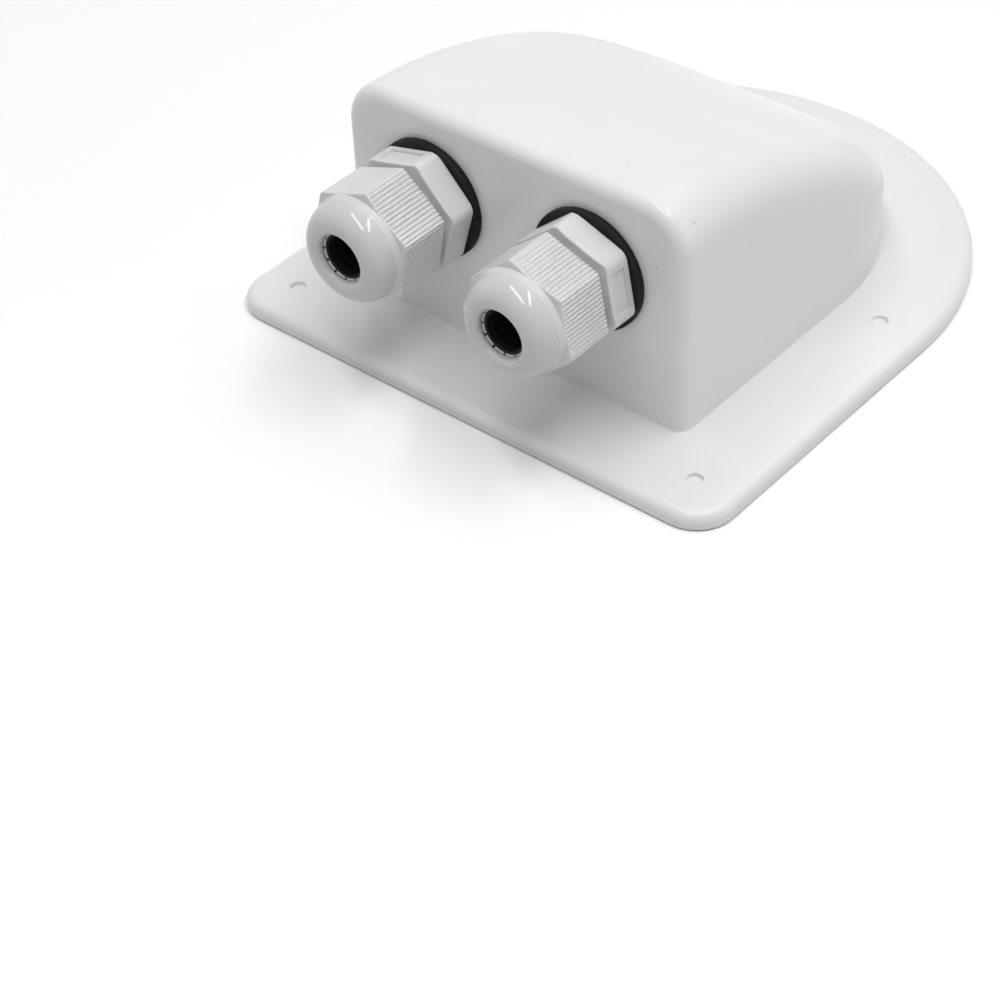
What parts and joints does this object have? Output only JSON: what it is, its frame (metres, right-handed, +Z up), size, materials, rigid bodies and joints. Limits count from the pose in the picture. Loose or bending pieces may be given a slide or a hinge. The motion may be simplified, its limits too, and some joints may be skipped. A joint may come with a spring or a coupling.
{
  "type": "roof cable entry box",
  "caption": "Moulded white roof entry box with a flat bonding flange, a hollow rounded hump and cable glands in its front, to bring solar cables through a roof.",
  "frame": {"origin": "middle of the flange's underside, on the roof face", "axes": "+X to the right seen from the gland side, +Y to the round rear end, +Z up from the roof"},
  "size_m": [0.133, 0.1564, 0.058],
  "materials": {
    "housing_white": "glossy moulded ABS",
    "nylon_white": "satin moulded nylon",
    "rubber_black": "matt rubber"
  },
  "bodies": {
    "housing": {"housing": "housing_white", "left_gasket": "rubber_black", "left_gland_body": "nylon_white", "left_seal_insert": "rubber_black", "left_lock_nut": "nylon_white", "right_gasket": "rubber_black", "right_gland_body": "nylon_white", "right_seal_insert": "rubber_black", "right_lock_nut": "nylon_white"},
    "left_dome_nut": {"left_dome_nut": "nylon_white"},
    "right_dome_nut": {"right_dome_nut": "nylon_white"}
  },
  "joints": [
    {"name": "left_dome_nut_turn", "type": "hinge", "parent": "housing", "child": "left_dome_nut", "pos_m": [-0.0215, -0.073, 0.0367], "axis": [0, -1, 0], "range_deg": [-600, 1680]},
    {"name": "right_dome_nut_turn", "type": "hinge", "parent": "housing", "child": "right_dome_nut", "pos_m": [0.0215, -0.073, 0.0367], "axis": [0, -1, 0], "range_deg": [-600, 1680]}
  ]
}
